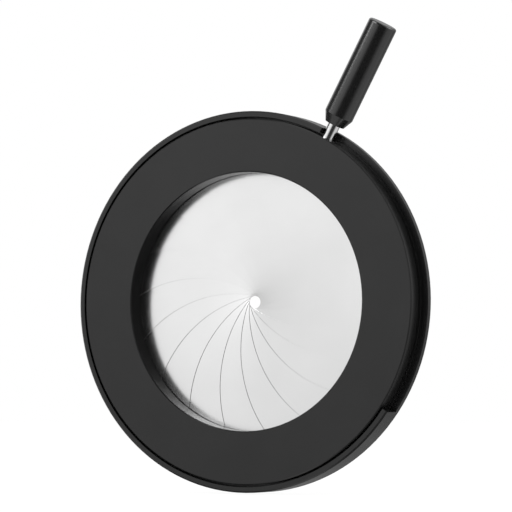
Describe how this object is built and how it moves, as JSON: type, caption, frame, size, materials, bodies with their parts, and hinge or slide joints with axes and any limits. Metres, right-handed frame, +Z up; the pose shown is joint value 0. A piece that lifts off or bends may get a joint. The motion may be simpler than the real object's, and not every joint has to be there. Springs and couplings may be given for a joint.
{
  "type": "iris diaphragm",
  "caption": "Adjustable optical iris: thin curved leaves in a round cup housing open and close as a side lever turns the front ring.",
  "frame": {"origin": "on the optical axis, in the housing's flat rear face", "axes": "+Y along the optical axis, out of the rear face; the ring and leaves face -Y; +Z up, with the lever at the upper right seen from the front"},
  "size_m": [0.074, 0.0067, 0.0908],
  "materials": {
    "anodised_black": "satin black anodised",
    "leaf_steel": "polished thin sheet",
    "bright_steel": "bright turned",
    "blued_spring_steel": "dark spring steel",
    "black_knob": "gloss black"
  },
  "bodies": {
    "housing": {"cup_housing": "anodised_black", "retaining_ring": "blued_spring_steel"},
    "ring": {"actuating_ring": "anodised_black", "lever_pin": "bright_steel", "lever_knob": "black_knob"},
    "leaf_body_01": {"leaf_01": "leaf_steel", "leaf_studs_01": "bright_steel"},
    "leaf_body_02": {"leaf_02": "leaf_steel", "leaf_studs_02": "bright_steel"},
    "leaf_body_03": {"leaf_03": "leaf_steel", "leaf_studs_03": "bright_steel"},
    "leaf_body_04": {"leaf_04": "leaf_steel", "leaf_studs_04": "bright_steel"},
    "leaf_body_05": {"leaf_05": "leaf_steel", "leaf_studs_05": "bright_steel"},
    "leaf_body_06": {"leaf_06": "leaf_steel", "leaf_studs_06": "bright_steel"},
    "leaf_body_07": {"leaf_07": "leaf_steel", "leaf_studs_07": "bright_steel"},
    "leaf_body_08": {"leaf_08": "leaf_steel", "leaf_studs_08": "bright_steel"},
    "leaf_body_09": {"leaf_09": "leaf_steel", "leaf_studs_09": "bright_steel"},
    "leaf_body_10": {"leaf_10": "leaf_steel", "leaf_studs_10": "bright_steel"},
    "leaf_body_11": {"leaf_11": "leaf_steel", "leaf_studs_11": "bright_steel"},
    "leaf_body_12": {"leaf_12": "leaf_steel", "leaf_studs_12": "bright_steel"},
    "leaf_body_13": {"leaf_13": "leaf_steel", "leaf_studs_13": "bright_steel"},
    "leaf_body_14": {"leaf_14": "leaf_steel", "leaf_studs_14": "bright_steel"},
    "leaf_body_15": {"leaf_15": "leaf_steel", "leaf_studs_15": "bright_steel"},
    "leaf_body_16": {"leaf_16": "leaf_steel", "leaf_studs_16": "bright_steel"},
    "leaf_body_17": {"leaf_17": "leaf_steel", "leaf_studs_17": "bright_steel"},
    "leaf_body_18": {"leaf_18": "leaf_steel", "leaf_studs_18": "bright_steel"}
  },
  "joints": [
    {"name": "lever_turn", "type": "hinge", "parent": "housing", "child": "ring", "pos_m": [0, 0, 0], "axis": [0, 1, 0], "range_deg": [0, 94.47]},
    {"name": "leaf_01_swing", "type": "hinge", "parent": "housing", "child": "leaf_body_01", "pos_m": [0.03108, 0, 0.00272], "axis": [0, 1, 0], "range_deg": [0, 47.9]},
    {"name": "leaf_02_swing", "type": "hinge", "parent": "housing", "child": "leaf_body_02", "pos_m": [0.02828, 0, 0.01319], "axis": [0, 1, 0], "range_deg": [0, 47.9]},
    {"name": "leaf_03_swing", "type": "hinge", "parent": "housing", "child": "leaf_body_03", "pos_m": [0.02206, 0, 0.02206], "axis": [0, 1, 0], "range_deg": [0, 47.9]},
    {"name": "leaf_04_swing", "type": "hinge", "parent": "housing", "child": "leaf_body_04", "pos_m": [0.01319, 0, 0.02828], "axis": [0, 1, 0], "range_deg": [0, 47.9]},
    {"name": "leaf_05_swing", "type": "hinge", "parent": "housing", "child": "leaf_body_05", "pos_m": [0.00272, 0, 0.03108], "axis": [0, 1, 0], "range_deg": [0, 47.9]},
    {"name": "leaf_06_swing", "type": "hinge", "parent": "housing", "child": "leaf_body_06", "pos_m": [-0.00808, 0, 0.03014], "axis": [0, 1, 0], "range_deg": [0, 47.9]},
    {"name": "leaf_07_swing", "type": "hinge", "parent": "housing", "child": "leaf_body_07", "pos_m": [-0.0179, 0, 0.02556], "axis": [0, 1, 0], "range_deg": [0, 47.9]},
    {"name": "leaf_08_swing", "type": "hinge", "parent": "housing", "child": "leaf_body_08", "pos_m": [-0.02556, 0, 0.0179], "axis": [0, 1, 0], "range_deg": [0, 47.9]},
    {"name": "leaf_09_swing", "type": "hinge", "parent": "housing", "child": "leaf_body_09", "pos_m": [-0.03014, 0, 0.00808], "axis": [0, 1, 0], "range_deg": [0, 47.9]},
    {"name": "leaf_10_swing", "type": "hinge", "parent": "housing", "child": "leaf_body_10", "pos_m": [-0.03108, 0, -0.00272], "axis": [0, 1, 0], "range_deg": [0, 47.9]},
    {"name": "leaf_11_swing", "type": "hinge", "parent": "housing", "child": "leaf_body_11", "pos_m": [-0.02828, 0, -0.01319], "axis": [0, 1, 0], "range_deg": [0, 47.9]},
    {"name": "leaf_12_swing", "type": "hinge", "parent": "housing", "child": "leaf_body_12", "pos_m": [-0.02206, 0, -0.02206], "axis": [0, 1, 0], "range_deg": [0, 47.9]},
    {"name": "leaf_13_swing", "type": "hinge", "parent": "housing", "child": "leaf_body_13", "pos_m": [-0.01319, 0, -0.02828], "axis": [0, 1, 0], "range_deg": [0, 47.9]},
    {"name": "leaf_14_swing", "type": "hinge", "parent": "housing", "child": "leaf_body_14", "pos_m": [-0.00272, 0, -0.03108], "axis": [0, 1, 0], "range_deg": [0, 47.9]},
    {"name": "leaf_15_swing", "type": "hinge", "parent": "housing", "child": "leaf_body_15", "pos_m": [0.00808, 0, -0.03014], "axis": [0, 1, 0], "range_deg": [0, 47.9]},
    {"name": "leaf_16_swing", "type": "hinge", "parent": "housing", "child": "leaf_body_16", "pos_m": [0.0179, 0, -0.02556], "axis": [0, 1, 0], "range_deg": [0, 47.9]},
    {"name": "leaf_17_swing", "type": "hinge", "parent": "housing", "child": "leaf_body_17", "pos_m": [0.02556, 0, -0.0179], "axis": [0, 1, 0], "range_deg": [0, 47.9]},
    {"name": "leaf_18_swing", "type": "hinge", "parent": "housing", "child": "leaf_body_18", "pos_m": [0.03014, 0, -0.00808], "axis": [0, 1, 0], "range_deg": [0, 47.9]}
  ],
  "couplings": [
    {"joint": "leaf_01_swing", "follows": "lever_turn", "ratio": 0.5},
    {"joint": "leaf_02_swing", "follows": "lever_turn", "ratio": 0.5},
    {"joint": "leaf_03_swing", "follows": "lever_turn", "ratio": 0.5},
    {"joint": "leaf_04_swing", "follows": "lever_turn", "ratio": 0.5},
    {"joint": "leaf_05_swing", "follows": "lever_turn", "ratio": 0.5},
    {"joint": "leaf_06_swing", "follows": "lever_turn", "ratio": 0.5},
    {"joint": "leaf_07_swing", "follows": "lever_turn", "ratio": 0.5},
    {"joint": "leaf_08_swing", "follows": "lever_turn", "ratio": 0.5},
    {"joint": "leaf_09_swing", "follows": "lever_turn", "ratio": 0.5},
    {"joint": "leaf_10_swing", "follows": "lever_turn", "ratio": 0.5},
    {"joint": "leaf_11_swing", "follows": "lever_turn", "ratio": 0.5},
    {"joint": "leaf_12_swing", "follows": "lever_turn", "ratio": 0.5},
    {"joint": "leaf_13_swing", "follows": "lever_turn", "ratio": 0.5},
    {"joint": "leaf_14_swing", "follows": "lever_turn", "ratio": 0.5},
    {"joint": "leaf_15_swing", "follows": "lever_turn", "ratio": 0.5},
    {"joint": "leaf_16_swing", "follows": "lever_turn", "ratio": 0.5},
    {"joint": "leaf_17_swing", "follows": "lever_turn", "ratio": 0.5},
    {"joint": "leaf_18_swing", "follows": "lever_turn", "ratio": 0.5}
  ]
}
